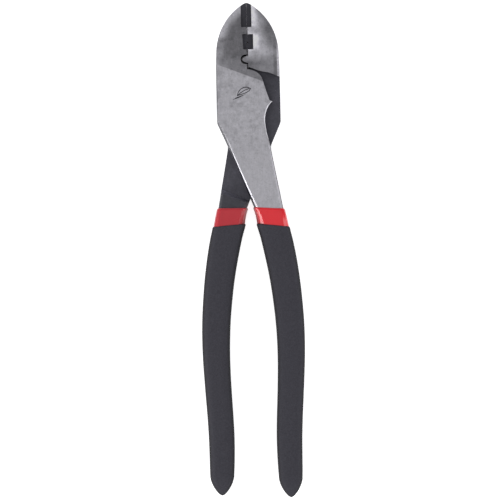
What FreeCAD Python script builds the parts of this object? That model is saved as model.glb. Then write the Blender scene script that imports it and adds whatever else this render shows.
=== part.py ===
import FreeCAD, Part
import math
import os

# Crimping and cutting pliers with a riveted lap joint, lying on their back.
# Millimetres. Z is up, Y points to the nose, X to the right handle.
# The origin is on the pivot axis in the resting plane.

V = FreeCAD.Vector
os.makedirs("parts", exist_ok=True)

# Joint and head
JOINT_T = 12.0             # thickness over both lapped plates
MID_Z = JOINT_T / 2        # parting plane of both forgings
LAP_GAP = 0.1              # between the two lapped plates
HEAD_HALF_W = 16.0         # half width of the head at the joint
DRAFT = 0.45               # inset of a forged wall from the parting plane to the face
INNER_DRAFT = 1.9          # the wall towards the other handle leans by this much more
BEVEL = 0.5                # width of the eased edge round a ground face
BEVEL_H = 0.4              # its height
LOW_BEVEL = 0.6            # the flatter eased edge along the outside of the handle
LOW_H = 0.15
NOSE_R = 29.36             # radius of each side of the pointed nose
NOSE_CX = 13.65            # its centre, on the far side of the long axis
NOSE_CY = 23.43
TIP_Y = 49.1               # end of the nose

# Ground faces of the nose
SLOPE_ANGLE = 21.3         # the crease leans by this much from square
SLOPE_Y0 = 11.9            # where the crease crosses the long axis
NOSE_SLOPE = 0.08          # fall per mm past the crease
NOSE_CURVE = 0.0007        # further fall per mm squared
CROWN_NEAR = 0.2           # each jaw is domed by this much on the plate side
CROWN_FAR = 0.7            # and on the other side
CROWN_RUN = 10.0           # length over which the dome grows
GRID = 2.0                 # spacing of the points that carry a nose face

# Jaw faces along the crimp line
WEB_GAP = 0.02             # between the two webs, shut
LAND_GAP = 0.65            # between the two lands, shut
WEB_T = 2.0                # web left behind the pockets
POCKET_1_Y = 36.6          # the open pocket runs from here to the tip
POCKET_1_NEAR = 2.9        # its width in a jaw, on the plate side
POCKET_1_FAR = 2.35        # and on the other side
POCKET_2_Y = (25.3, 33.0)
POCKET_2_NEAR = (2.0, 2.4)
POCKET_2_FAR = 3.0
NEST_Y = 29.0              # small through nest in the second pocket
NEST_R = 0.65
NOTCH_X = -1.1             # round notch that takes the nib
NOTCH_Y = 20.3
NOTCH_R = 2.4
LINE_END_Y = 15.3          # lower end of the crimp line

# Pivot rivet
RIVET_R = 4.5
HEAD_R = 6.5
HEAD_H = 1.6
RUN_FIT = 0.04             # clearance in the turning lever

# Engraved emblem on the front plate: a leaf over a wedge
MARK_DEPTH = 0.2
MARK_LINE = 0.40           # width of its strokes
MARK_WEDGE = [(-8.3, -0.1), (-4.9, 0.95), (-0.9, 2.95), (-5.9, 1.35)]
MARK_LEAF = [(-5.5, 2.1), (-5.0, 3.8), (-3.9, 5.3), (-2.2, 6.2), (-0.4, 6.3), (1.2, 5.6), (0.5, 4.5), (-0.9, 3.6),
             (-2.6, 3.0)]
MARK_RIB = [(-5.5, 2.1), (-3.6, 3.7), (-1.6, 4.9), (0.4, 5.5)]

# Handles
TANG_TOP_Y = -26.0         # the lofted tang starts here
TANG_END_Y = -194.0
RED_T = 0.7                # coat thickness
RED_END_Y = -72.0          # the red coat ends here, under the black one
BLACK_T = 0.55
THINNER = 0.4              # the tang is this much slimmer all round below the red coat
TANG_T = 9.0               # tang thickness in the grip
SECTION_POWER = 3.1        # squareness of the coated section
TOP_POWER = 4.0            # squareness at its upper edge
END_RUN = 9.0              # length over which a coat closes at its end
SECTION_POINTS = 28

# Each lever was dipped on its own: upper edge and its drop towards the outside for the red and the black coat, and
# the lower end of the black one
FRONT_DIP = (-54.3, 0.063, -63.0, 0.112, -200.1)
REAR_DIP = (-54.1, -0.01, -62.7, 0.072, -198.5)

# Grip outline: distance down the tool, middle and width of the black coat
GRIP_STATIONS = [
    (-50.0, 7.85, 18.3), (-54.0, 9.05, 17.5), (-58.0, 10.0, 17.15), (-64.0, 11.25, 16.75), (-70.0, 12.8, 16.3),
    (-80.0, 14.8, 15.7), (-90.0, 16.4, 15.2), (-100.0, 17.55, 14.8), (-110.0, 18.4, 14.45), (-120.0, 18.8, 14.1),
    (-130.0, 18.8, 13.75), (-140.0, 18.45, 13.45), (-150.0, 17.95, 13.25), (-160.0, 17.4, 13.1),
    (-170.0, 17.05, 12.95), (-180.0, 17.05, 12.65), (-188.0, 17.2, 12.15), (-200.0, 17.3, 10.8),
]

# Outer and inner edge of the bare neck
NECK_OUTER = [(-26.0, 11.15), (-30.0, 11.85), (-38.0, 13.35), (-46.0, 14.85), (-54.0, 16.3)]
NECK_INNER = [(-26.0, -9.7), (-30.0, -8.1), (-38.0, -4.8), (-46.0, -1.5), (-54.0, 1.8)]


def slope_at(rows, k, j):
    """Slope of column j at row k, from its neighbours."""
    lo = max(k - 1, 0)
    hi = min(k + 1, len(rows) - 1)
    return (rows[hi][j] - rows[lo][j]) / (rows[hi][0] - rows[lo][0])


def interp(table, y):
    """Smooth values between (y, value...) rows with falling y. Past either end they go on straight."""
    rows = list(table)
    if y >= rows[0][0]:
        return [v + slope_at(rows, 0, j + 1) * (y - rows[0][0]) for j, v in enumerate(rows[0][1:])]
    k = 0
    while k < len(rows) - 2 and y < rows[k + 1][0]:
        k += 1
    a = rows[k]
    b = rows[k + 1]
    h = b[0] - a[0]
    t = (y - a[0]) / h
    out = []
    for j in range(1, len(a)):
        m0 = slope_at(rows, k, j) * h
        m1 = slope_at(rows, k + 1, j) * h
        c = 3 * (b[j] - a[j]) - 2 * m0 - m1
        d = 2 * (a[j] - b[j]) + m0 + m1
        out.append(a[j] + t * (m0 + t * (c + t * d)))
    return out


def smooth(t):
    t = max(0.0, min(1.0, t))
    return t * t * (3 - 2 * t)


# ---------- general builders ----------

def curve(points):
    c = Part.BSplineCurve()
    c.interpolate(points)
    return c.toShape()


def prism(points, z0, z1):
    wire = Part.makePolygon([V(x, y, z0) for x, y in points] + [V(points[0][0], points[0][1], z0)])
    return Part.Face(wire).extrude(V(0, 0, z1 - z0))


def box(x0, x1, y0, y1, z0, z1):
    return Part.makeBox(x1 - x0, y1 - y0, z1 - z0, V(x0, y0, z0))


def solid_from(faces):
    shell = Part.makeShell(faces)
    shell.sewShape()
    solid = Part.makeSolid(shell)
    if solid.Volume < 0:
        solid.reverse()
    return solid


def inset_points(runs, insets):
    """Every run's points moved inwards. A run is (curved, its share of each inset, points)."""
    flat = []
    for _, shares, pts in runs:
        move = sum(share * inset for share, inset in zip(shares, insets))
        for p, q in zip(pts, pts[1:]):
            flat.append((p, q, move))
    moved = []
    for i, (p, q, m) in enumerate(flat):
        p0, _, m0 = flat[i - 1]
        u0 = V(p[0] - p0[0], p[1] - p0[1], 0).normalize()
        u1 = V(q[0] - p[0], q[1] - p[1], 0).normalize()
        n0 = V(-u0.y, u0.x, 0)
        n1 = V(-u1.y, u1.x, 0)
        det = n0.x * n1.y - n0.y * n1.x
        if abs(det) < 0.3:
            n = (n0 + n1).normalize()
            moved.append((p[0] + n.x * (m0 + m) / 2, p[1] + n.y * (m0 + m) / 2))
        else:
            dx = (m0 * n1.y - m * n0.y) / det
            dy = (n0.x * m - n1.x * m0) / det
            moved.append((p[0] + dx, p[1] + dy))
    out = []
    i = 0
    for run in runs:
        n = len(run[-1]) - 1
        out.append([moved[(i + j) % len(moved)] for j in range(n + 1)])
        i += n
    return out


def drafted(runs, levels):
    """Solid between parallel copies of one anticlockwise outline. A level is (z, insets)."""
    rings = []
    for z, insets in levels:
        ring = []
        for run, pts in zip(runs, inset_points(runs, insets)):
            pts = [V(x, y, z) for x, y in pts]
            ring.append(curve(pts) if run[0] else Part.makeLine(pts[0], pts[-1]))
        rings.append(ring)
    faces = [Part.Face(Part.Wire(rings[0])), Part.Face(Part.Wire(rings[-1]))]
    for low, high in zip(rings, rings[1:]):
        for e0, e1 in zip(low, high):
            faces.append(Part.makeRuledSurface(e0, e1))
    return solid_from(faces)


# ---------- levers ----------

def head_runs():
    """Outline of the front lever's head from the tip, anticlockwise as seen from above."""
    a0 = math.atan2(TIP_Y - 0.75 - NOSE_CY, -1.6 - NOSE_CX)
    a1 = math.radians(180.0 - 4.0)
    side = []
    for k in range(9):
        a = a0 + (a1 - a0) * k / 8
        side.append((NOSE_CX + NOSE_R * math.cos(a), NOSE_CY + NOSE_R * math.sin(a)))
    web = -WEB_GAP / 2
    tip = [(web, TIP_Y), (-0.75, TIP_Y - 0.22), side[0]]
    left = [side[-1], (-15.87, 20.0), (-HEAD_HALF_W, 11.0), (-HEAD_HALF_W - 0.05, 0.0)]
    low = [left[-1], (-HEAD_HALF_W - 0.05, -10.6)]
    corner = [low[-1], (-15.95, -11.3), (-15.6, -12.3)]
    diagonal = [corner[-1], (-13.25, -17.6), (-11.0, -22.7), (-9.7, -26.0)]
    top_of_tang = [diagonal[-1], (NECK_OUTER[0][1], -26.0)]
    neck = [top_of_tang[-1], (10.55, -22.7), (10.2, -21.0)]
    hollow = [neck[-1], (9.15, -17.0), (8.4, -12.5), (8.35, -8.9), (9.05, -5.8), (10.3, -3.2), (12.2, -1.2)]
    spur = [hollow[-1], (10.6, -0.5)]
    shoulder = [spur[-1], (9.5, 2.6), (8.4, 6.2), (7.4, 9.5), (6.5, 11.7), (5.25, 13.1), (3.6, 14.2), (2.0, 14.85),
                (web, LINE_END_Y)]
    line = [shoulder[-1], (web, TIP_Y)]
    # Shares of the draft, the near bevel, the flat near bevel and the far bevel
    return [
        (True, (1, 0.2, 0, 0.2), tip), (True, (1, 0.2, 0, 0.2), side), (True, (0.5, 0.3, 0, 1), left),
        (False, (0.5, 0.3, 0, 1), low), (True, (1.2, 0.8, 0, 1), corner), (True, (INNER_DRAFT, 1, 0, 1), diagonal),
        (False, (0, 0, 0, 0), top_of_tang), (True, (1, 0, 1, 1), neck), (True, (0.5, 0.7, 0, 0.7), hollow),
        (False, (0, 0, 0, 0), spur), (True, (0, 0, 0, 0), shoulder), (False, (0, 0, 0, 0), line),
    ]


def head():
    levels = [
        (0.0, (DRAFT, 0.0, 0.0, BEVEL)), (BEVEL_H, (DRAFT, 0.0, 0.0, 0.0)), (MID_Z, (0.0, 0.0, 0.0, 0.0)),
        (JOINT_T - BEVEL_H, (DRAFT, 0.0, 0.0, 0.0)),
        (JOINT_T - LOW_H, (DRAFT, BEVEL * (1 - LOW_H / BEVEL_H), 0.0, 0.0)),
        (JOINT_T, (DRAFT, BEVEL, LOW_BEVEL, 0.0)),
    ]
    return drafted(head_runs(), levels)


def edge_share(table, y):
    """An inset measured square to a leaning edge, as it shows along X."""
    a = interp(table, y + 0.5)[0]
    b = interp(table, y - 0.5)[0]
    return math.hypot(1.0, a - b)


def tang_section(y):
    """Twelve-cornered section of the tang at one distance down the tool."""
    mid, wide = interp(GRIP_STATIONS, y)
    thinner = THINNER * smooth((-y - 72.0) / 8.0)
    coat = RED_T + BLACK_T + thinner
    blend = smooth((-y - 52.0) / 12.0)
    xo = interp(NECK_OUTER, y)[0] * (1 - blend) + (mid + wide / 2 - coat) * blend
    xi = interp(NECK_INNER, y)[0] * (1 - blend) + (mid - wide / 2 + coat) * blend
    end = smooth((-y - 184.0) / 12.0)
    xo -= 1.6 * end
    xi += 1.6 * end
    half = MID_Z + (TANG_T / 2 - MID_Z) * smooth((-y - 24.0) / 38.0) - 0.9 * smooth((-y - 90.0) / 90.0) - 1.4 * end
    half -= thinner
    so = edge_share(NECK_OUTER, y) * (1 - blend) + blend
    si = edge_share(NECK_INNER, y) * (1 - blend) + blend
    grow = smooth((-y - 34.0) / 34.0)
    keep = 1 - 0.8 * end
    x0 = xo - DRAFT * so
    x1 = xi + DRAFT * INNER_DRAFT * si
    low = (LOW_BEVEL + 0.8 * grow + 0.3 * blend) * so * keep
    steep = (BEVEL + 0.5 * grow + 0.6 * blend) * si * keep
    under = (BEVEL + 0.9 * grow) * keep
    h = BEVEL_H + 0.5 * grow + 0.6 * blend
    low_h = LOW_H + 0.2 * grow + 0.9 * blend
    up = MID_Z + half
    dn = MID_Z - half
    pts = [
        (xo, MID_Z), (x0, up - h), (x0, up - low_h), (x0 - low, up), (x1 + steep, up),
        (x1 + steep * (1 - low_h / h), up - low_h), (x1, up - h), (xi, MID_Z), (x1, dn + h), (x1 + under * si, dn),
        (x0 - under * so, dn), (x0, dn + h),
    ]
    return Part.makePolygon([V(x, y, z) for x, z in pts + pts[:1]])


def tang():
    ys = [TANG_TOP_Y, -32.0, -38.0, -44.0, -50.0, -54.0, -58.0, -63.0, -70.0, -80.0, -92.0, -105.0, -118.0, -131.0,
          -144.0, -157.0, -170.0, -180.0, -187.0, -191.5, TANG_END_Y]
    return Part.makeLoft([tang_section(y) for y in ys], True, True)


def lap_cut():
    """Space of the other lever: below the lap plane, from the jaw's step to the step at the handle."""
    step = [(-18.0, 10.3), (-15.0, 11.6), (-12.5, 12.7), (-10.0, 13.6), (-7.2, 14.05), (-5.3, 14.6), (-2.2, 15.8),
            (-0.2, 16.6)]
    neck_hi = [(20.0, 16.6), (20.0, -42.1), (14.4, -44.5), (0.3, -50.6), (-18.0, -58.5)]
    neck_lo = [(20.0, 16.6), (20.0, -46.0), (14.4, -48.0), (0.3, -52.7), (-18.0, -58.9)]
    z_hi = MID_Z + LAP_GAP / 2
    rings = []
    for pts, z in ((step + neck_lo, -1.0), (step + neck_hi, z_hi)):
        rings.append(Part.makePolygon([V(x, y, z) for x, y in pts + pts[:1]]))
    return Part.makeLoft(rings, True, True)


def nose_height(along, y, into, crown):
    """Height of a nose face: along is X seen from that face, into is the distance inside the jaw."""
    a = math.radians(SLOPE_ANGLE)
    s = along * math.sin(a) + (y - SLOPE_Y0) * math.cos(a)
    fall = NOSE_SLOPE * s + NOSE_CURVE * s * abs(s)
    half = HEAD_HALF_W / 2
    across = (into - half) / half
    return JOINT_T - fall - crown * across * across * smooth((s - 1.0) / CROWN_RUN)


def nose_cut(far):
    """Everything above the nose face on the plate side, or below the one on the far side."""
    crown = CROWN_FAR if far else CROWN_NEAR
    grid = []
    for i in range(14):
        x = -18.0 + GRID * i
        column = []
        for j in range(25):
            y = 4.0 + GRID * j
            into = -x if x < -1.0 else math.exp(-x - 1.0)
            z = nose_height(-x if far else x, y, into, crown)
            column.append(V(x, y, JOINT_T - z if far else z))
        grid.append(column)
    surface = Part.BSplineSurface()
    surface.interpolate(grid)
    return surface.toShape().extrude(V(0, 0, -20.0 if far else 20.0))


def pockets():
    """Relief pockets along the crimp line, on both sides of one jaw, and the small nest between them."""
    hi = MID_Z + WEB_T / 2
    lo = MID_Z - WEB_T / 2
    y0, y1 = POCKET_2_Y
    near0, near1 = POCKET_2_NEAR
    cuts = [
        box(-POCKET_1_NEAR, 5.0, POCKET_1_Y, 60.0, hi, 20.0),
        box(-POCKET_1_FAR, 5.0, POCKET_1_Y, 60.0, -10.0, lo),
        prism([(-near0, y0), (5.0, y0), (5.0, y1), (-near1, y1)], hi, 20.0),
        box(-POCKET_2_FAR, 5.0, y0, y1, -10.0, lo),
        Part.makeCylinder(NEST_R, 30.0, V(0, NEST_Y, -5.0)),
    ]
    return cuts


def land_cuts():
    """The lands stand back a little further than the webs."""
    edge = -LAND_GAP / 2
    return [
        box(edge, 0.1, POCKET_2_Y[1], POCKET_1_Y, -JOINT_T, 2 * JOINT_T),
        box(edge, 0.1, LINE_END_Y - 0.15, POCKET_2_Y[0], -JOINT_T, 2 * JOINT_T),
    ]


def notch():
    round_part = Part.makeCylinder(NOTCH_R, 30.0, V(NOTCH_X, NOTCH_Y, -5.0))
    mouth = box(NOTCH_X, 5.0, NOTCH_Y - NOTCH_R, NOTCH_Y + NOTCH_R, -5.0, 20.0)
    return [round_part, mouth]


def nib():
    """Nose that enters the notch, on the lever that has no notch."""
    pts = [(-1.5, 22.3), (0.3, 22.0), (1.5, 21.5), (2.3, 20.9), (2.6, 20.2), (2.2, 19.5), (1.4, 19.0), (0.3, 18.6),
           (-1.5, 18.3)]
    flat = curve([V(x, y, 0) for x, y in pts])
    back = Part.makeLine(V(pts[-1][0], pts[-1][1], 0), V(pts[0][0], pts[0][1], 0))
    return Part.Face(Part.Wire([flat, back])).extrude(V(0, 0, JOINT_T))


def rivet(clear):
    """Shank with a countersunk head at each end, larger all round by clear."""
    shank = Part.makeCylinder(RIVET_R + clear, JOINT_T, V(0, 0, 0))
    top = Part.makeCone(RIVET_R + clear, HEAD_R + clear, HEAD_H, V(0, 0, JOINT_T - HEAD_H))
    bottom = Part.makeCone(HEAD_R + clear, RIVET_R + clear, HEAD_H, V(0, 0, 0))
    return shank.fuse([top, bottom]).removeSplitter()


def lever(with_notch, clear):
    """One forging, with its lap plate on the upper side."""
    body = head().fuse(tang())
    body = body.cut(lap_cut())
    if with_notch:
        body = body.cut(notch())
    body = body.cut(land_cuts())
    if not with_notch:
        body = body.fuse(nib())
    body = body.cut([nose_cut(False), nose_cut(True)])
    body = body.cut(pockets())
    body = body.cut(rivet(clear))
    return body.removeSplitter()


def stroke(points):
    """Shallow groove along a line of points."""
    z = JOINT_T - MARK_DEPTH
    cuts = []
    for (x0, y0), (x1, y1) in zip(points, points[1:]):
        d = V(x1 - x0, y1 - y0, 0)
        n = V(-d.y, d.x, 0).normalize() * (MARK_LINE / 2)
        quad = [(x0 + n.x, y0 + n.y), (x0 - n.x, y0 - n.y), (x1 - n.x, y1 - n.y), (x1 + n.x, y1 + n.y)]
        cuts.append(prism(quad, z, JOINT_T + 1.0))
        cuts.append(Part.makeCylinder(MARK_LINE / 2, MARK_DEPTH + 1.0, V(x1, y1, z)))
    return cuts


def mark():
    wedge = prism(MARK_WEDGE, JOINT_T - MARK_DEPTH, JOINT_T + 1.0)
    lines = stroke(MARK_LEAF + MARK_LEAF[:1]) + stroke(MARK_RIB)
    return wedge.fuse(lines).removeSplitter()


def turned(shape):
    """The same shape turned over about the tool's long axis."""
    copy = shape.copy()
    copy.rotate(V(0, 0, MID_Z), V(0, 1, 0), 180.0)
    return copy


# ---------- vinyl coats ----------

def coat_section(y, less, end_y, lean):
    """Rounded section of a coat's outside. less is how far it lies inside the black coat."""
    mid, wide = interp(GRIP_STATIONS, y)
    t = max(0.0, min(1.0, (y - end_y) / END_RUN))
    close = (1.0 - (1.0 - t) ** 1.5) ** 0.635
    a = (wide / 2 - less) * close
    b = (TANG_T / 2 + RED_T + BLACK_T - 0.7 * smooth((-y - 90.0) / 90.0) - less) * close
    power = SECTION_POWER + (TOP_POWER - SECTION_POWER) * smooth((y + 76.0) / 14.0) - 0.8 * (1 - smooth(t))
    drop = lean * smooth((y + 80.0) / 15.0)
    pts = []
    for k in range(SECTION_POINTS):
        w = 2 * math.pi * k / SECTION_POINTS
        px = math.copysign(abs(math.cos(w)) ** (2 / power), math.cos(w))
        pz = math.copysign(abs(math.sin(w)) ** (2 / power), math.sin(w))
        pts.append(V(mid + a * px, y - drop * a * px, MID_Z + b * pz))
    c = Part.BSplineCurve()
    c.interpolate(Points=pts, PeriodicFlag=True)
    return Part.Wire(c.toShape())


def coat(less, top_y, end_y, lean):
    """A closed coat filled to its middle, from its upper edge to its rounded end."""
    ys = [top_y, top_y - 2.0, top_y - 4.0, -69.5, -74.0, -80.0]
    ys += [-90.0 - 10.0 * k for k in range(9)] + [-179.0, -186.0]
    ys += [end_y + d for d in (9.0, 6.5, 4.4, 2.8, 1.6, 0.8, 0.3, 0.08)]
    sections = [coat_section(y, less, end_y, lean) for y in ys]
    return Part.makeLoft(sections, True, False)


def coats(metal, dip):
    """The red coat round one tang, and the black one over its lower end and the rest of the tang."""
    red_y, red_lean, black_y, black_lean, end_y = dip
    above_end = box(-2 * HEAD_HALF_W, 2 * HEAD_HALF_W, RED_END_Y, 0.0, -JOINT_T, 2 * JOINT_T)
    red = coat(BLACK_T, red_y, end_y + BLACK_T, red_lean).common(above_end)
    black = coat(0.0, black_y, end_y, black_lean)
    return red.cut(metal), black.cut(red).cut(metal)


def build():
    emblem = mark()
    front = lever(True, 0.0).cut(emblem)
    rear = lever(False, RUN_FIT)
    front_red, front_black = coats(front, FRONT_DIP)
    rear_red, rear_black = coats(rear, REAR_DIP)
    shapes = {
        "front_lever": front,
        "rear_lever": turned(rear),
        "pivot_rivet": rivet(0.0).cut(emblem),
        "front_red_dip": front_red,
        "rear_red_dip": turned(rear_red),
        "front_black_grip": front_black,
        "rear_black_grip": turned(rear_black),
    }
    for name, shape in shapes.items():
        print(name, shape.isValid(), len(shape.Solids), round(shape.Volume, 1), shape.BoundBox)
        shape.exportStep("parts/%s.step" % name)


build()
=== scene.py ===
import bpy
import math
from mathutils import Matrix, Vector


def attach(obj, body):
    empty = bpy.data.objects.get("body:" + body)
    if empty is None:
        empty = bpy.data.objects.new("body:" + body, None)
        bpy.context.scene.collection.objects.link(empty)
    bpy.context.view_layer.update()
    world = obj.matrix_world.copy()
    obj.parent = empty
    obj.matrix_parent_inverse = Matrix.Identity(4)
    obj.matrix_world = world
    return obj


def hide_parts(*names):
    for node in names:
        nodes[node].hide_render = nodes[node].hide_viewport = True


# Crimping and cutting pliers on a white studio floor. Places on the metal and sizes of the coats are in mm,
# and everything round the tool is in metres.

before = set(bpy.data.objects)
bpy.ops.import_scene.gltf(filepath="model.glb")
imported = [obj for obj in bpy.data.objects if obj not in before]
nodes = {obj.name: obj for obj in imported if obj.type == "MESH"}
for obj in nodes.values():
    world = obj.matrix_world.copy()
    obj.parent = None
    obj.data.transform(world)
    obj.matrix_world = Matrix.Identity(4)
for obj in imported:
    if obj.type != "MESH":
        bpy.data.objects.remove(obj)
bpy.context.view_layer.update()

MM = 0.001
JOINT_T = 12.0                        # thickness over the joint
MID_Z = JOINT_T / 2
CREASE_ANGLE = math.radians(21.3)     # lean of the crease between plate and nose
CREASE_Y = 11.9                       # where it crosses the long axis


# ---------- node helpers ----------

class Tree:
    """Short calls for building one material."""

    def __init__(self, name):
        self.mat = bpy.data.materials.new(name)
        self.mat.use_nodes = True
        self.t = self.mat.node_tree
        self.t.nodes.clear()
        self.out = self.t.nodes.new("ShaderNodeOutputMaterial")
        self.bsdf = self.t.nodes.new("ShaderNodeBsdfPrincipled")
        self.t.links.new(self.bsdf.outputs[0], self.out.inputs[0])
        self.coord = self.t.nodes.new("ShaderNodeTexCoord").outputs["Object"]

    def put(self, socket, value):
        if isinstance(value, bpy.types.NodeSocket):
            self.t.links.new(value, socket)
        else:
            socket.default_value = value

    def set(self, name, value):
        self.put(self.bsdf.inputs[name], value)

    def split(self, vector):
        n = self.t.nodes.new("ShaderNodeSeparateXYZ")
        self.put(n.inputs[0], vector)
        return n.outputs

    def normal_z(self, kind="True Normal"):
        geometry = self.t.nodes.new("ShaderNodeNewGeometry")
        return self.split(geometry.outputs[kind])[2]

    def math(self, op, a, b=0.0, c=0.0):
        n = self.t.nodes.new("ShaderNodeMath")
        n.operation = op
        for socket, value in zip(n.inputs, (a, b, c)):
            self.put(socket, value)
        return n.outputs[0]

    def times(self, *values):
        """Product of several values."""
        result = values[0]
        for value in values[1:]:
            result = self.math("MULTIPLY", result, value)
        return result

    def step(self, value, lo, hi):
        """0 below lo, 1 above hi, smooth between. With lo above hi it falls instead."""
        n = self.t.nodes.new("ShaderNodeMapRange")
        n.interpolation_type = "SMOOTHSTEP"
        self.put(n.inputs["Value"], value)
        n.inputs["From Min"].default_value = lo
        n.inputs["From Max"].default_value = hi
        return n.outputs["Result"]

    def band(self, value, lo, hi, soft):
        """1 between lo and hi, with soft edges."""
        return self.times(self.step(value, lo - soft, lo + soft), self.step(value, hi + soft, hi - soft))

    def over(self, value, ends):
        """A step between two lengths in mm."""
        return self.step(value, ends[0] * MM, ends[1] * MM)

    def within(self, value, ends, soft):
        """A band between two lengths in mm."""
        return self.band(value, ends[0] * MM, ends[1] * MM, soft * MM)

    def scaled(self, sx, sy, sz):
        n = self.t.nodes.new("ShaderNodeMapping")
        n.inputs["Scale"].default_value = (sx, sy, sz)
        self.put(n.inputs["Vector"], self.coord)
        return n.outputs[0]

    def noise(self, vector, scale, detail=3.0, rough=0.55):
        n = self.t.nodes.new("ShaderNodeTexNoise")
        n.inputs["Scale"].default_value = scale
        n.inputs["Detail"].default_value = detail
        n.inputs["Roughness"].default_value = rough
        self.put(n.inputs["Vector"], vector)
        return n.outputs["Fac"]

    def mix(self, fac, a, b):
        n = self.t.nodes.new("ShaderNodeMix")
        n.data_type = "RGBA"
        self.put(n.inputs["Factor"], fac)
        self.put(n.inputs["A"], a)
        self.put(n.inputs["B"], b)
        return n.outputs["Result"]

    def mixf(self, fac, a, b):
        n = self.t.nodes.new("ShaderNodeMix")
        n.data_type = "FLOAT"
        self.put(n.inputs["Factor"], fac)
        self.put(n.inputs[2], a)
        self.put(n.inputs[3], b)
        return n.outputs[0]

    def uneven(self, tone, texture, amount):
        """A tone that is darker by this share where a texture is 0, and as much lighter where it is 1."""
        return self.times(tone, self.mixf(texture, 1 - amount, 1 + amount))

    def dim(self, colour, factor):
        """A colour multiplied by a value."""
        n = self.t.nodes.new("ShaderNodeVectorMath")
        n.operation = "SCALE"
        self.put(n.inputs[0], colour)
        self.put(n.inputs["Scale"], factor)
        return n.outputs[0]

    def bump(self, height, strength, distance):
        n = self.t.nodes.new("ShaderNodeBump")
        n.inputs["Strength"].default_value = strength
        n.inputs["Distance"].default_value = distance
        self.put(n.inputs["Height"], height)
        self.set("Normal", n.outputs[0])


def oxide(v):
    """The cool near-black of the unground steel."""
    return (v, 0.975 * v, 1.23 * v, 1.0)


# ---------- metal ----------

STEEL_TINT = (1.0, 0.985, 1.05)
PLATE_TONE = 0.44
NECK_DIM = 0.90                       # of the plate's tone, at the coat
OUTLINE_DIM = 0.5                     # of the plate's tone: painted shade along its straight side
BEVEL_TONE = (0.09, 0.30)             # painted shade on the ground edge towards the other handle, at the joint and at the coat
HOLLOW_TONE = 0.60                    # painted highlight on the ground edge round the hollow beside the spur
FLAT_BEVEL_TONE = (0.26, 0.56)        # painted light and shade on the flat bevel of the outline, over the joint and along the neck
# The nose halves' tones below are painted light and shade, set for how the light falls on each half.
JAW_A_TONE = 0.215                    # painted shade: the nose half that is ground with the plate
JAW_A_EDGE_TONE = (0.44, 0.64)        # painted highlight along its round side, at the bottom and at the top
JAW_A_LOW_TONE = 0.29
JAW_B_NEAR_TONE = 1.0                 # painted highlight on the other half, beside the pockets
JAW_B_TONE = 0.58
# painted shade on its rim
JAW_B_RIM_TONE = 0.27
JAW_B_LOW_TONE = (0.26, 0.35)         # painted shade below the pockets, at the joint line and at the outline
JAW_B_GLINT_TONE = 0.8                # painted glint along the straight part of the outline
JAW_B_SHADE_DIM = 0.72                # painted shade, as a share of the tone beside the glint

# Where tones and finish change, in mm, from the first value to the second. A pair with a softness of its own
# is a band between them instead.
UPPER_FACE_Z = (7.2, 7.4)             # ground faces of the upper side lie above this
LOWER_FACE_Z = (4.8, 4.6)             # and those of the lower side below this
JAW_Y = (9.5, 10.0)                   # upper end of the joint
CREASE_SOFT = (-0.1, 0.2)             # square to the crease
NOSE_CX = 13.65                       # middle of the nose's round side, across the long axis
NOSE_CY = 23.43
BESIDE_1_X = (6.2, 2.6)               # painted highlight beside the first pocket
BESIDE_1_Y = (36.0, 38.0)
BESIDE_2_X = (7.4, 4.2)               # and beside the second
BESIDE_2_Y = (25.3, 33.0)
BESIDE_2_SOFT = 1.2
RIM_R = (21.5, 26.5)                  # painted shade on the rim, by the distance from the middle of the round side
RIM_Y = (22.0, 30.0)
RIM_TIP_Y = (34.0, 42.0)              # above this the rim is narrower
RIM_TIP_LESS = 3.6
B_LOW_Y = (25.0, 18.0)                # the lower part of that jaw
B_LOW_X = (1.0, 11.0)                 # and its change towards the outline
GLINT_Y = (30.0, 26.0)                # painted glint, and painted shade beside it, on the straight part of the outline
GLINT_X = (14.6, 15.0)
B_SHADE_X = (13.0, 14.6)
B_SHADE_SOFT = 0.5
A_HIGH_Y = (27.5, 33.0)               # upper and lower part of the half that is ground with the plate
A_LOW_Y = (23.5, 18.5)
A_EDGE_R = ((22.5, 28.0), (24.0, 28.8))   # painted highlight on the edge, at the bottom and at the top
A_EDGE_X = (-11.5, -14.5)
NECK_Y = (-12.0, -42.0)               # from the joint to the coat
BEVEL_Y = (-12.0, -44.0)
BEVEL_X = (6.0, 3.0)                  # the hollow's edge begins where the other ground edge ends
HOLLOW_X = (6.0, 7.5)
HOLLOW_Y = (-17.0, -8.0)
OUTLINE_X = (-15.2, -15.7)
FLAT_BEVEL_X = (-8.0, 8.0)
MARK_X = (-9.0, 1.8)                  # the engraved emblem, blackened inside
MARK_Y = (-0.8, 6.9)
MARK_Z = (11.95, 11.88)
MARK_SOFT = 0.1
HEAD_Y = (-35.0, -15.0)               # stains and mottling are stronger above this
LAP_DEPTH = (1.3, 1.1)                # painted light on lap faces and pockets, by the distance from the parting plane
OPEN_POCKET_Y = (34.0, 36.0)          # the pocket at the tip is hardly paler
OXIDE_NECK_Y = (-30.0, -42.0)
RAMP_Y = (-53.0, -43.5)
RAMP_SOFT = 0.1
BUMP_DEPTH = 0.03

# Faces are told apart by the vertical part of their normal: a step, or a band with its softness
FACE_UP = (0.30, 0.45)
BEVEL_UP = (0.60, 0.90, 0.03)
HOLLOW_UP = (0.45, 0.93, 0.03)
FLAT_BEVEL_UP = (0.955, 0.985, 0.006)
RAMP_UP = (0.3, 0.75, 0.05)


def past_crease(t, x, y):
    """1 on the nose side of the crease on the front face."""
    across = t.math("MULTIPLY", x, math.sin(CREASE_ANGLE))
    along = t.math("MULTIPLY_ADD", y, math.cos(CREASE_ANGLE), -CREASE_Y * MM * math.cos(CREASE_ANGLE))
    return t.over(t.math("ADD", across, along), CREASE_SOFT)


def nose_radius(t, x, y, side):
    """Distance from the middle of the nose's round side."""
    dx = t.math("SUBTRACT", x, side * NOSE_CX * MM)
    dy = t.math("SUBTRACT", y, NOSE_CY * MM)
    return t.math("SQRT", t.math("MULTIPLY_ADD", dx, dx, t.math("MULTIPLY", dy, dy)))


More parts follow.
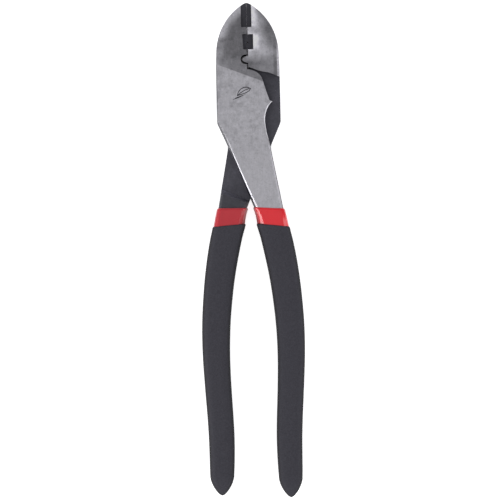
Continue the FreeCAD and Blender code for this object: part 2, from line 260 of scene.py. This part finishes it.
def rear_tone(t, x, y, cloud):
    """Tone of the jaw that isn't ground with the plate, as painted light and shade: a painted highlight,
    brightest beside the pockets, painted shade on its rim and lower part, and a painted glint along the
    outline with painted shade beside it.
    """
    radius = nose_radius(t, x, y, -1.0)
    beside_1 = t.times(t.over(x, BESIDE_1_X), t.over(y, BESIDE_1_Y))
    beside_2 = t.times(t.over(x, BESIDE_2_X), t.within(y, BESIDE_2_Y, BESIDE_2_SOFT))
    reach = t.math("MULTIPLY_ADD", t.over(y, RIM_TIP_Y), -RIM_TIP_LESS * MM, radius)
    rim = t.times(t.over(reach, RIM_R), t.over(y, RIM_Y))
    below = t.over(y, GLINT_Y)
    shade = t.times(t.within(x, B_SHADE_X, B_SHADE_SOFT), below)
    glint = t.times(t.over(x, GLINT_X), below)
    low_tone = t.mixf(t.over(x, B_LOW_X), JAW_B_LOW_TONE[0], JAW_B_LOW_TONE[1])
    tone = t.uneven(JAW_B_TONE, t.step(cloud, 0.25, 0.75), 0.06)
    tone = t.mixf(t.over(y, B_LOW_Y), tone, low_tone)
    tone = t.mixf(rim, tone, JAW_B_RIM_TONE)
    tone = t.mixf(t.math("MAXIMUM", beside_1, beside_2), tone, JAW_B_NEAR_TONE)
    tone = t.times(tone, t.mixf(shade, 1.0, JAW_B_SHADE_DIM))
    return t.mixf(glint, tone, JAW_B_GLINT_TONE)


def front_nose_tone(t, x, y, cloud):
    """Tone of the nose half that is ground with the plate, as painted light and shade: darker than the plate,
    with a painted highlight along its round side.
    """
    radius = nose_radius(t, x, y, 1.0)
    high = t.over(y, A_HIGH_Y)
    round_edge = t.mixf(high, t.over(radius, A_EDGE_R[0]), t.over(radius, A_EDGE_R[1]))
    edge = t.math("MAXIMUM", round_edge, t.over(x, A_EDGE_X))
    edge = t.times(edge, t.math("MAXIMUM", t.step(cloud, 0.30, 0.60), high))
    edge_tone = t.mixf(high, JAW_A_EDGE_TONE[0], JAW_A_EDGE_TONE[1])
    return t.mixf(edge, t.mixf(t.over(y, A_LOW_Y), JAW_A_TONE, JAW_A_LOW_TONE), edge_tone)


def plate_tone(t, x, y, nz):
    """Tone of the plate and the neck, with painted light and shade on their ground edges and painted shade
    along the outline.
    """
    tone = t.mixf(t.over(y, NECK_Y), PLATE_TONE, NECK_DIM * PLATE_TONE)
    bevel = t.times(t.band(nz, *BEVEL_UP), t.over(x, BEVEL_X))
    tone = t.mixf(bevel, tone, t.mixf(t.over(y, BEVEL_Y), BEVEL_TONE[0], BEVEL_TONE[1]))
    hollow = t.times(t.band(nz, *HOLLOW_UP), t.over(x, HOLLOW_X), t.over(y, HOLLOW_Y))
    tone = t.mixf(hollow, tone, HOLLOW_TONE)
    tone = t.times(tone, t.mixf(t.over(x, OUTLINE_X), 1.0, OUTLINE_DIM))
    flat_bevel_tone = t.mixf(t.over(x, FLAT_BEVEL_X), FLAT_BEVEL_TONE[0], FLAT_BEVEL_TONE[1])
    return t.mixf(t.band(nz, *FLAT_BEVEL_UP), tone, flat_bevel_tone)


def emblem(t, x, y, z, up):
    """1 inside the engraved strokes."""
    return t.times(t.over(z, MARK_Z), t.within(x, MARK_X, MARK_SOFT), t.within(y, MARK_Y, MARK_SOFT), up)


def oxide_places(t, y, z, nz):
    """Painted light on the oxide where it lies in shade, on lap faces, pockets and the ramp above the coats.
    It is also a little paler down the neck.
    """
    from_mid = t.math("ABSOLUTE", t.math("SUBTRACT", z, MID_Z * MM))
    lap = t.times(t.over(from_mid, LAP_DEPTH), t.mixf(t.over(y, OPEN_POCKET_Y), 1.0, 0.2))
    ramp = t.times(t.within(y, RAMP_Y, RAMP_SOFT), t.band(t.math("ABSOLUTE", nz), *RAMP_UP))
    paler = t.math("MULTIPLY_ADD", t.over(y, OXIDE_NECK_Y), 0.2, t.mixf(lap, 1.0, 1.9))
    return t.math("MULTIPLY_ADD", ramp, 2.0, paler)


def lever_metal(name, rear):
    """Ground steel on one lever's working faces, and black oxide everywhere else."""
    t = Tree(name)
    x, y, z = t.split(t.coord)
    nz = t.normal_z()
    up = t.times(t.step(nz, *FACE_UP), t.over(z, UPPER_FACE_Z))
    down = t.times(t.step(nz, -FACE_UP[0], -FACE_UP[1]), t.over(z, LOWER_FACE_Z))
    jaw = t.over(y, JAW_Y)
    cloud = t.noise(t.coord, 110.0, 3.0, 0.6)
    if rear:
        ground = t.math("MAXIMUM", t.times(up, jaw), down)
        tone = rear_tone(t, x, y, cloud)
    else:
        ground = t.math("MAXIMUM", up, t.times(down, jaw))
        ground = t.math("SUBTRACT", ground, emblem(t, x, y, z, up))
        tone = t.mixf(past_crease(t, x, y), plate_tone(t, x, y, nz), front_nose_tone(t, x, y, cloud))

    # Grinding marks, stains, mottling and pits
    grain = t.noise(t.scaled(9.0, 0.9, 4.0), 260.0, 4.0, 0.6)
    brushed = t.noise(t.scaled(26.0, 0.7, 10.0), 320.0, 3.0, 0.6)
    blotch = t.noise(t.coord, 240.0, 3.0, 0.6)
    mottle = t.noise(t.coord, 420.0, 2.0, 0.5)
    pits = t.noise(t.coord, 1400.0, 2.0, 0.5)
    speckle = t.noise(t.coord, 900.0, 4.0, 0.7)
    head = t.over(y, HEAD_Y)
    stain = t.times(t.step(blotch, 0.46, 0.80), t.mixf(head, -0.12, -0.32))
    patches = t.times(t.math("SUBTRACT", mottle, 0.5), t.mixf(head, 0.12, 0.50))
    tone = t.times(tone, t.math("ADD", stain, 1.04), t.math("ADD", patches, 1.0))
    tone = t.times(tone, t.mixf(t.step(pits, 0.56, 0.74), 1.02, 0.80))
    tone = t.uneven(t.uneven(t.uneven(tone, grain, 0.14), speckle, 0.22), brushed, 0.20)

    dark = t.dim(t.mix(blotch, oxide(0.022), oxide(0.046)), t.mixf(speckle, 0.55, 1.45))
    dark = t.mix(t.step(pits, 0.68, 0.80), dark, oxide(0.085))
    # painted light: the oxide is lifted where it lies in shade
    dark = t.dim(dark, oxide_places(t, y, z, nz))
    t.set("Base Color", t.mix(ground, dark, t.dim(STEEL_TINT, tone)))
    t.set("Metallic", t.mixf(ground, 0.25, 1.0))
    t.set("Roughness", t.mixf(ground, 0.55, t.mixf(brushed, 0.30, 0.44)))
    relief = t.math("MULTIPLY_ADD", t.mixf(ground, speckle, brushed), 0.6, t.times(pits, 0.4))
    t.bump(relief, 0.5, BUMP_DEPTH * MM)
    return t.mat


def paint(node, mat):
    """Gives a CAD node its material."""
    nodes[node].data.materials.clear()
    nodes[node].data.materials.append(mat)


front_metal = lever_metal("ground_steel_front", False)
paint("front_lever", front_metal)
paint("pivot_rivet", front_metal)
paint("rear_lever", lever_metal("ground_steel_rear", True))


# ---------- vinyl ----------

# Steps by the vertical part of a face's normal
RED_TURNED = (-1.6, 0.8)              # painted shade: the red vinyl is darker on what turns away
SKIN_UP = (0.35, 0.60)                # its clear skin is on what looks up
EDGE_SHADE_UP = (0.35, 0.98)                # painted shade: the black vinyl is darker on its edges, and keeps its tone on its flat sides
RED_BUMP = 0.04                       # in mm
BLACK_BUMP = 0.12


def red_vinyl(name, base, deep, gloss):
    """Glossy vinyl with painted shade on the sides that turn away, and a clear skin on what looks up."""
    t = Tree(name)
    cloud = t.noise(t.coord, 300.0, 4.0, 0.6)
    grains = t.noise(t.coord, 1800.0, 2.0, 0.5)
    t.set("Base Color", t.dim(t.mix(cloud, deep, base), t.step(t.normal_z(), *RED_TURNED)))
    t.set("Roughness", t.mixf(cloud, 0.30, 0.40))
    t.set("Specular IOR Level", 0.3)
    t.set("Coat Weight", t.times(t.step(t.normal_z(), *SKIN_UP), gloss))
    t.set("Coat Roughness", 0.10)
    t.bump(t.math("MULTIPLY_ADD", cloud, 0.7, t.times(grains, 0.3)), 0.12, RED_BUMP * MM)
    return t.mat


def black_vinyl():
    """Matt pebbled vinyl, with painted shade on its edges."""
    t = Tree("black_vinyl")
    cloud = t.noise(t.coord, 180.0, 4.0, 0.6)
    pebble = t.noise(t.coord, 1500.0, 3.0, 0.6)
    base = t.mix(pebble, (0.028, 0.0275, 0.0345, 1), (0.070, 0.068, 0.0825, 1))
    # painted shade on the edges, with a random mottle on the flat sides
    flat = t.step(t.math("ABSOLUTE", t.normal_z("Normal")), *EDGE_SHADE_UP)
    edge_shade_and_mottle = t.times(flat, t.mixf(cloud, 0.88, 1.12))
    t.set("Base Color", t.dim(base, t.mixf(edge_shade_and_mottle, 0.26, 1.02)))
    t.set("Roughness", t.mixf(pebble, 0.62, 0.78))
    t.set("Specular IOR Level", 0.15)
    t.bump(pebble, 0.5, BLACK_BUMP * MM)
    return t.mat


RED_FRONT = red_vinyl("red_vinyl_front", (0.76, 0.010, 0.021, 1), (0.68, 0.007, 0.016, 1), 0.40)
RED_REAR = red_vinyl("red_vinyl_rear", (0.50, 0.026, 0.038, 1), (0.45, 0.020, 0.031, 1), 0.15)
BLACK = black_vinyl()


# ---------- coats ----------

RED_T = 0.7
RED_END_Y = -72.0                     # the red coat ends here, under the black one
BLACK_T = 0.55
THINNER = 0.4                         # the steel is this much slimmer all round below the red coat
TANG_T = 9.0
TANG_END_Y = -194.0
END_RUN = 9.0                         # length over which a coat closes at its end
END_STEPS = (0.02, 0.12, 0.35, 0.8, 1.5, 2.4, 3.6, 5.0, 6.8, 9.0)   # rings of the closed end, from its tip
LIP_RUN = 1.0                         # length of the rounded upper edge of a coat
LIP_STEPS = 6
INNER_GAP = 0.02                      # from a coat's inside to what it covers
ARC_STEPS = 6
CORNERS = 10                          # of the steel's section
ROUND_POINTS = CORNERS * (ARC_STEPS + 1)
LIP_LEFT = 0.06                       # thickness left at the very edge of a coat
RED_EDGE_BACK = 0.1                   # a coat's inside begins this far below its upper edge
BLACK_EDGE_BACK = 0.2
STEP_CLEAR = 0.5                      # the black coat's inside leaves this much round the red coat's end
RED_RINGS = 0.7                       # spacing of the rings of the red coat,
COLLAR_RINGS = 1.0                    # of the black coat over the red one,
GRIP_RINGS = 2.5                      # of the grip
STEEL_RINGS = 4.0                     # and of its inside
GRIP_START = END_RUN + 2.0            # first of the grip's rings, from the tip
RED_FEATHER = 0.3                     # the red coat is this much thinner at its hidden end

# Each run is where a change starts down the tool, and its length
SLIM_RUN = (-72.0, 8.0)               # the steel gets slimmer by THINNER
GRIP_RUN = (-52.0, 12.0)              # the neck's edges turn into the grip's
THIN_RUN = (-24.0, 38.0)              # the neck thins to the tang
EDGE_RUN = (-34.0, 34.0)              # its eased edges grow
TAPER_RUN = (-90.0, 90.0)             # tang and coats taper in thickness
POINT_RUN = (-184.0, 12.0)            # the tang narrows to its end
FEATHER_RUN = (-66.0, 5.0)
TANG_TAPER = 0.9                      # on either side
COAT_TAPER = 0.7
POINT_THIN = 1.4
POINT_NARROW = 1.6
POINT_EDGES = 0.8                     # share by which the eased edges shrink there

# Section of the steel: insets of its sides and its eased edges. Three values are the size at the top of the
# neck, the growth down the neck and the growth in the grip.
OUTER_INSET = 0.47
INNER_INSET = (0.92, 0.0, 0.6)
FLAT_EDGE = (0.6, 0.8, 0.3)           # on the upper outer side
FLAT_EDGE_H = (0.15, 0.2, 0.9)
STEEP_EDGE = (0.54, 0.54, 0.54)       # on the upper inner side
STEEP_SLOPE = 0.77                    # its height, as a share of its width
UNDER_EDGE = (0.5, 0.9, 0.0)          # on both lower sides

# Rounded section of the black coat
SECTION_POWER = 3.1                   # squareness
TOP_POWER = 0.9                       # more at its upper edge
END_POWER = 0.8                       # less at its end
TOP_POWER_Y = -76.0
TOP_POWER_RUN = 14.0
LEAN_Y = -80.0                        # the edges of the coats are level below this
LEAN_RUN = 15.0
CLOSE_POWERS = (1.5, 0.635)           # outline of the closed end

# Upper edge and its drop towards the outside, for the red and then the black coat, and the black one's end
FRONT_DIP = (-54.3, 0.063, -63.0, 0.112, -200.1)
REAR_DIP = (-54.1, -0.01, -62.7, 0.072, -198.5)

# Distance down the tool, middle and width of the black coat
GRIP_STATIONS = [
    (-50.0, 7.85, 18.3), (-54.0, 9.05, 17.5), (-58.0, 10.0, 17.15), (-64.0, 11.25, 16.75),
    (-70.0, 12.8, 16.3), (-80.0, 14.8, 15.7), (-90.0, 16.4, 15.2), (-100.0, 17.55, 14.8),
    (-110.0, 18.4, 14.45), (-120.0, 18.8, 14.1), (-130.0, 18.8, 13.75), (-140.0, 18.45, 13.45),
    (-150.0, 17.95, 13.25), (-160.0, 17.4, 13.1), (-170.0, 17.05, 12.95), (-180.0, 17.05, 12.65),
    (-188.0, 17.2, 12.15), (-200.0, 17.3, 10.8),
]

# Outer and inner edge of the bare neck
NECK_OUTER = [(-26.0, 11.15), (-30.0, 11.85), (-38.0, 13.35), (-46.0, 14.85), (-54.0, 16.3)]
NECK_INNER = [(-26.0, -9.7), (-30.0, -8.1), (-38.0, -4.8), (-46.0, -1.5), (-54.0, 1.8)]


def slope_at(rows, k, j):
    """Slope of column j at row k, from its neighbours."""
    lo = max(k - 1, 0)
    hi = min(k + 1, len(rows) - 1)
    return (rows[hi][j] - rows[lo][j]) / (rows[hi][0] - rows[lo][0])


def interp(rows, y):
    """Smooth values between (y, value...) rows with falling y. Past the first row they go on straight."""
    if y >= rows[0][0]:
        return [v + slope_at(rows, 0, j + 1) * (y - rows[0][0]) for j, v in enumerate(rows[0][1:])]
    k = 0
    while k < len(rows) - 2 and y < rows[k + 1][0]:
        k += 1
    a = rows[k]
    b = rows[k + 1]
    h = b[0] - a[0]
    t = (y - a[0]) / h
    out = []
    for j in range(1, len(a)):
        m0 = slope_at(rows, k, j) * h
        m1 = slope_at(rows, k + 1, j) * h
        c = 3 * (b[j] - a[j]) - 2 * m0 - m1
        d = 2 * (a[j] - b[j]) + m0 + m1
        out.append(a[j] + t * (m0 + t * (c + t * d)))
    return out


def smooth(t):
    """0 below 0, 1 above 1, smooth between."""
    t = max(0.0, min(1.0, t))
    return t * t * (3 - 2 * t)


def share(y, run):
    """0 above a run's start, 1 below its end, smooth between."""
    start, length = run
    return smooth((start - y) / length)


def tang_corners(y):
    """Section of the steel under the coats: (x, z) corners, anticlockwise."""
    mid, wide = interp(GRIP_STATIONS, y)
    thinner = THINNER * share(y, SLIM_RUN)
    coat = RED_T + BLACK_T + thinner
    blend = share(y, GRIP_RUN)
    grow = share(y, EDGE_RUN)
    end = share(y, POINT_RUN)
    keep = 1 - POINT_EDGES * end

    def grown(sizes):
        return sizes[0] + sizes[1] * grow + sizes[2] * blend

    xo = interp(NECK_OUTER, y)[0] * (1 - blend) + (mid + wide / 2 - coat) * blend - POINT_NARROW * end
    xi = interp(NECK_INNER, y)[0] * (1 - blend) + (mid - wide / 2 + coat) * blend + POINT_NARROW * end
    half = MID_Z + (TANG_T / 2 - MID_Z) * share(y, THIN_RUN)
    half -= TANG_TAPER * share(y, TAPER_RUN) + POINT_THIN * end + thinner
    x0 = xo - OUTER_INSET
    x1 = xi + grown(INNER_INSET)
    low = grown(FLAT_EDGE) * keep
    steep = grown(STEEP_EDGE) * keep
    under = grown(UNDER_EDGE) * keep
    h = STEEP_SLOPE * steep
    low_h = grown(FLAT_EDGE_H)
    up = MID_Z + half
    dn = MID_Z - half
    return [
        (xo, MID_Z), (x0, up - low_h), (x0 - low, up), (x1 + steep, up), (x1, up - h),
        (xi, MID_Z), (x1, dn + h), (x1 + under, dn), (x0 - under, dn), (x0, dn + h),
    ]


def leaned(x, y, lean):
    """Where a ring at y lies at x: it drops towards the outside."""
    mid = interp(GRIP_STATIONS, y)[0]
    return y - lean * smooth((y - LEAN_Y) / LEAN_RUN) * (x - mid)


def offset_ring(y, off, lean):
    """Points at a distance from the steel all round."""
    def place(corners):
        ring = []
        n = len(corners)
        for i in range(n):
            px, pz = corners[i - 1]
            cx, cz = corners[i]
            nx, nz = corners[(i + 1) % n]
            a0 = math.atan2(px - cx, cz - pz)
            a1 = math.atan2(cx - nx, nz - cz)
            turn = (a1 - a0 + math.pi) % (2 * math.pi) - math.pi
            for k in range(ARC_STEPS + 1):
                a = a0 + turn * k / ARC_STEPS
                ring.append((cx + off * math.cos(a), cz + off * math.sin(a)))
        return ring

    ring = []
    for i, (x, _) in enumerate(place(tang_corners(y))):
        y1 = leaned(x, y, lean)
        x1, z1 = place(tang_corners(y1))[i]
        ring.append((x1, y1, z1))
    return ring


def round_ring(y, less, lean, end_y):
    """Rounded section of the black coat's outside, or of a surface inside it by less."""
    mid, wide = interp(GRIP_STATIONS, y)
    t = max(0.0, min(1.0, (y - end_y) / END_RUN))
    close = (1.0 - (1.0 - t) ** CLOSE_POWERS[0]) ** CLOSE_POWERS[1]
    a = (wide / 2 - less) * close
    b = (TANG_T / 2 + RED_T + BLACK_T - COAT_TAPER * share(y, TAPER_RUN) - less) * close
    power = SECTION_POWER - END_POWER * (1 - smooth(t))
    power += TOP_POWER * smooth((y - TOP_POWER_Y) / TOP_POWER_RUN)
    ring = []
    for k in range(ROUND_POINTS):
        w = 2 * math.pi * k / ROUND_POINTS
        px = math.copysign(abs(math.cos(w)) ** (2 / power), math.cos(w))
        pz = math.copysign(abs(math.sin(w)) ** (2 / power), math.sin(w))
        ring.append((mid + a * px, leaned(mid + a * px, y, lean), MID_Z + b * pz))
    return ring


def skin(rings, rear, looped):
    """Vertices and faces of a closed skin: capped at both ends, or looped from the last ring to the first."""
    verts = []
    faces = []
    side = -1.0 if rear else 1.0
    count = len(rings[0])
    for ring in rings:
        for x, y, z in ring:
            verts.append((side * x * MM, y * MM, (JOINT_T - z if rear else z) * MM))
    for r in range(len(rings) if looped else len(rings) - 1):
        above = (r + 1) % len(rings)
        for i in range(count):
            j = (i + 1) % count
            faces.append((r * count + i, r * count + j, above * count + j, above * count + i))
    for r in () if looped else (0, len(rings) - 1):
        middle = [sum(verts[r * count + i][c] for i in range(count)) / count for c in range(3)]
        verts.append(tuple(middle))
        for i in range(count):
            j = (i + 1) % count
            face = (r * count + j, r * count + i, len(verts) - 1)
            faces.append(face if r == 0 else face[::-1])
    return verts, faces


def shell(name, rings, rear, mat, looped, replaced):
    """One coat through rings of points, on its body and in place of its CAD node."""
    verts, faces = skin(rings, rear, looped)
    mesh = bpy.data.meshes.new(name)
    mesh.from_pydata(verts, [], faces)
    mesh.validate()
    mesh.shade_smooth()
    mesh.materials.append(mat)
    piece = bpy.data.objects.new(name, mesh)
    bpy.context.scene.collection.objects.link(piece)
    weighted = piece.modifiers.new("even_shading", "WEIGHTED_NORMAL")
    weighted.weight = 100
    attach(piece, "rear_half" if rear else "front_half")
    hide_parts(replaced)


def stations(lo, hi, gap):
    """Evenly spaced values from lo to hi, about gap apart."""
    n = max(1, round((hi - lo) / gap))
    return [lo + (hi - lo) * k / n for k in range(n + 1)]


def lip(top, depth):
    """(y, loss) along the rounded upper edge, from its lower end up to the top."""
    out = []
    for k in range(LIP_STEPS + 1):
        a = math.pi / 2 * k / LIP_STEPS
        out.append((top - LIP_RUN + LIP_RUN * math.sin(a), depth * (1 - math.cos(a))))
    return out


def red_coat(side, rear, mat, dip):
    """Sleeve of red vinyl with a rolled upper edge: up its outside, over the edge and down its inside."""
    top, lean = dip[:2]
    ys = stations(RED_END_Y, top - LIP_RUN, RED_RINGS)[:-1]
    rings = [offset_ring(y, RED_T - RED_FEATHER * share(y, FEATHER_RUN), lean) for y in ys]
    rings += [offset_ring(y, RED_T - loss, lean) for y, loss in lip(top, RED_T - LIP_LEFT)]
    rings.append(offset_ring(top - RED_EDGE_BACK, INNER_GAP, lean))
    rings += [offset_ring(y, INNER_GAP, lean) for y in reversed(ys)]
    shell(side + "_red_coat", rings, rear, mat, True, side + "_red_dip")


def black_coat(side, rear, dip):
    """Closed sock of black vinyl: up its outside, over the edge, and down over the red coat and the steel."""
    top, lean, end_y = dip[2:]
    ys = [end_y + d for d in END_STEPS]
    ys += stations(end_y + GRIP_START, TOP_POWER_Y, GRIP_RINGS)[:-1]
    ys += stations(TOP_POWER_Y, top - LIP_RUN, COLLAR_RINGS)[:-1]
    rings = [round_ring(y, 0.0, lean, end_y) for y in ys]
    rings += [round_ring(y, loss, lean, end_y) for y, loss in lip(top, BLACK_T - LIP_LEFT)]
    over_red = stations(RED_END_Y + STEP_CLEAR, top - BLACK_EDGE_BACK, COLLAR_RINGS)
    rings += [round_ring(y, BLACK_T - INNER_GAP, lean, end_y) for y in reversed(over_red)]
    on_steel = stations(TANG_END_Y, RED_END_Y - STEP_CLEAR, STEEL_RINGS)
    rings += [offset_ring(y, INNER_GAP, lean) for y in reversed(on_steel)]
    shell(side + "_black_coat", rings, rear, BLACK, False, side + "_black_grip")


red_coat("front", False, RED_FRONT, FRONT_DIP)
red_coat("rear", True, RED_REAR, REAR_DIP)
black_coat("front", False, FRONT_DIP)
black_coat("rear", True, REAR_DIP)


# ---------- floor ----------

FLOOR_SIZE = 6.0
FLOOR_Y = -0.07
FLOOR_Z = -0.0001
FLOOR_GLOW = 0.72                     # lifts the floor to white, except under the head
SHADE_X = 15.0 * MM                   # half axes of the oval under the head, left without glow as a painted shadow
SHADE_Y = 58.0 * MM
SHADE_EDGE = (0.78, 0.87)             # share of them over which the glow sets in


def pale_floor(start_y):
    """White floor with a glow that leaves out the oval under the head, which makes a painted shadow there.
    start_y is the floor's own middle.
    """
    t = Tree("pale_floor")
    x, y, _ = t.split(t.coord)
    across = t.math("DIVIDE", x, SHADE_X)
    along = t.math("DIVIDE", t.math("ADD", y, start_y), SHADE_Y)
    reach = t.math("SQRT", t.math("MULTIPLY_ADD", across, across, t.times(along, along)))
    t.set("Base Color", (0.95, 0.95, 0.95, 1))
    t.set("Roughness", 0.8)
    t.set("Specular IOR Level", 0.1)
    t.set("Emission Color", (1, 1, 1, 1))
    t.set("Emission Strength", t.times(t.step(reach, *SHADE_EDGE), FLOOR_GLOW))
    return t.mat


bpy.ops.mesh.primitive_plane_add(size=FLOOR_SIZE, location=(0, FLOOR_Y, FLOOR_Z))
floor = bpy.context.object
floor.name = "floor"
floor.data.materials.append(pale_floor(FLOOR_Y))


# ---------- light ----------

MIDDLE = Vector((0.0, -0.075, 0.0))


def soft_box(name, lean_x, lean_y, far, size, radiance):
    """A panel seen from the tool at these angles from straight up, in degrees, facing it."""
    data = bpy.data.lights.new(name, "AREA")
    data.shape = "RECTANGLE"
    data.size, data.size_y = size
    data.energy = radiance * math.pi * size[0] * size[1]
    lamp = bpy.data.objects.new(name, data)
    bpy.context.scene.collection.objects.link(lamp)
    way = Vector((math.tan(math.radians(lean_x)), math.tan(math.radians(lean_y)), 1.0)).normalized()
    lamp.location = MIDDLE + way * far
    lamp.rotation_euler = (-way).to_track_quat("-Z", "Y").to_euler()


# Name, angles, distance, size and brightness
soft_box("overhead_box", 4.0, -12.0, 1.9, (1.1, 1.1), 0.75)
soft_box("high_left_box", -22.0, 12.0, 1.6, (0.30, 0.6), 2.6)
soft_box("high_right_box", 28.0, 4.0, 1.6, (0.22, 0.6), 1.5)
soft_box("left_box", -74.0, -50.0, 1.2, (0.8, 0.26), 11.0)
soft_box("right_box", 72.0, -28.0, 1.2, (1.0, 0.28), 4.5)
soft_box("near_box", 0.0, -58.0, 1.2, (1.1, 0.6), 1.6)
soft_box("far_box", 0.0, 62.0, 1.2, (1.1, 0.5), 1.6)

world = bpy.data.worlds.new("studio")
world.use_nodes = True
background = world.node_tree.nodes["Background"]
background.inputs["Color"].default_value = (0.34, 0.34, 0.35, 1)
background.inputs["Strength"].default_value = 1.0
bpy.context.scene.world = world

# ---------- camera ----------

LENS = 200.0
SENSOR = 36.0
VIEW_WIDTH = 0.2510                   # seen at the height VIEW_Z
VIEW_X = -0.00082
VIEW_Y = -0.0753
VIEW_Z = 0.009
ROLL = math.radians(1.24)
CLIP_END = 20.0

cam_data = bpy.data.cameras.new("camera")
cam_data.lens = LENS
cam_data.sensor_width = SENSOR
cam_data.clip_end = CLIP_END
camera = bpy.data.objects.new("camera", cam_data)
bpy.context.scene.collection.objects.link(camera)
camera.location = (VIEW_X, VIEW_Y, VIEW_WIDTH * LENS / SENSOR + VIEW_Z)
camera.rotation_euler = (0.0, 0.0, -ROLL)
bpy.context.scene.camera = camera

bpy.context.scene.view_settings.view_transform = "Standard"
